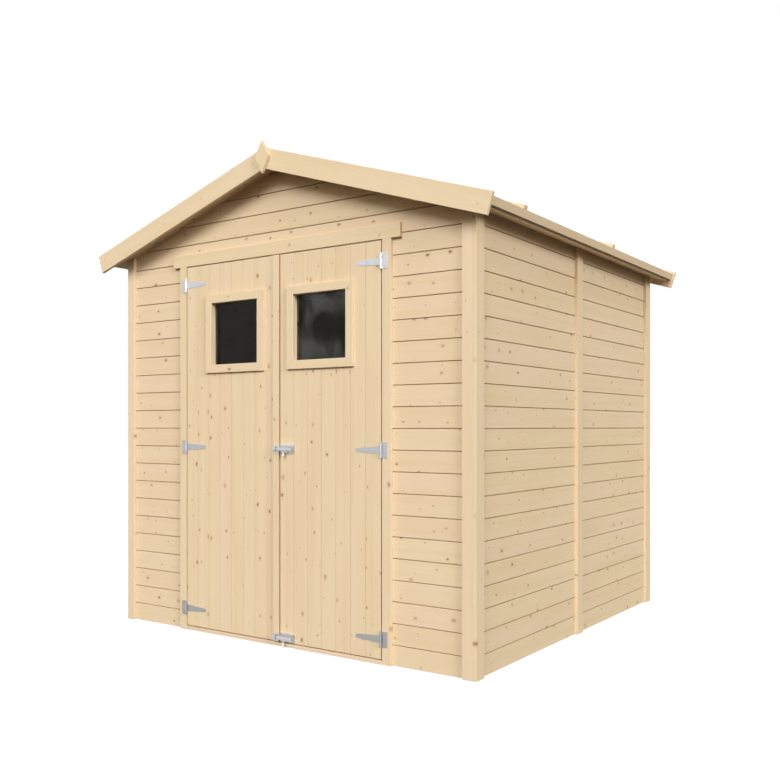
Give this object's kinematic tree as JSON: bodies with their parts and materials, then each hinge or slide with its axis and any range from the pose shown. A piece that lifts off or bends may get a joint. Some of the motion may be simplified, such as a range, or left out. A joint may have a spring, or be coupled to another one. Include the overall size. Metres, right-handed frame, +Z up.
{
  "type": "wooden garden shed",
  "caption": "Wooden garden shed of horizontal boards with a low pitched roof, glazed hinged double doors and sliding door bolts.",
  "frame": {"origin": "on the ground, in the middle of the shed's outline seen from above", "axes": "+X to the right along the front wall with the doors, +Y from the front wall to the back wall, +Z up"},
  "size_m": [2.2524, 2.182, 2.2154],
  "materials": {
    "cladding": "raw smooth softwood boards",
    "trim": "raw smooth softwood boards",
    "framing": "raw sawn softwood",
    "roofing": "raw softwood boards",
    "fascia": "raw smooth softwood boards",
    "hinge_metal": "zinc plated",
    "bolt_metal": "zinc plated",
    "pane": "clear glazing"
  },
  "bodies": {
    "shed": {"front_wall_left": "cladding", "front_wall_right": "cladding", "front_gable": "cladding", "left_wall": "cladding", "right_wall": "cladding", "back_wall": "cladding", "gable_wall_studs": "framing", "gable_wall_rails": "framing", "gable_slope_rails": "framing", "side_wall_studs": "framing", "side_wall_rails": "framing", "front_corner_boards": "trim", "back_wall_boards": "trim", "left_wall_boards": "trim", "right_wall_boards": "trim", "door_jambs": "trim", "door_lintel": "trim", "door_sill": "trim", "hinge_plates": "hinge_metal", "roof_deck_left": "roofing", "roof_deck_right": "roofing", "roof_rafters": "roofing", "roof_purlins": "roofing", "roof_battens": "trim", "fascia_left": "fascia", "fascia_right": "fascia", "barge_front_left": "fascia", "barge_front_right": "fascia", "barge_back_left": "fascia", "barge_back_right": "fascia", "finial_front": "fascia", "finial_back": "fascia"},
    "door_left": {"door_left_leaf": "cladding", "door_left_inner_frame": "framing", "door_left_window_frame": "trim", "door_left_pane": "pane", "door_left_hinge_straps": "hinge_metal", "door_left_meeting_strip": "trim", "door_left_keepers": "bolt_metal"},
    "door_right": {"door_right_leaf": "cladding", "door_right_inner_frame": "framing", "door_right_window_frame": "trim", "door_right_pane": "pane", "door_right_hinge_straps": "hinge_metal", "door_right_bolt_housings": "bolt_metal"},
    "bolt_upper": {"bolt_upper": "bolt_metal"},
    "bolt_lower": {"bolt_lower": "bolt_metal"}
  },
  "joints": [
    {"name": "door_left_hinge", "type": "hinge", "parent": "shed", "child": "door_left", "pos_m": [-0.578, -0.9937, 0], "axis": [0, 0, -1], "range_deg": [0, 165]},
    {"name": "door_right_hinge", "type": "hinge", "parent": "shed", "child": "door_right", "pos_m": [0.566, -0.9937, 0], "axis": [0, 0, 1], "range_deg": [0, 165]},
    {"name": "bolt_upper_slide", "type": "slide", "parent": "door_right", "child": "bolt_upper", "axis": [-1, 0, 0], "range_m": [0, 0.021]},
    {"name": "bolt_lower_slide", "type": "slide", "parent": "door_right", "child": "bolt_lower", "axis": [-1, 0, 0], "range_m": [0, 0.021]}
  ]
}
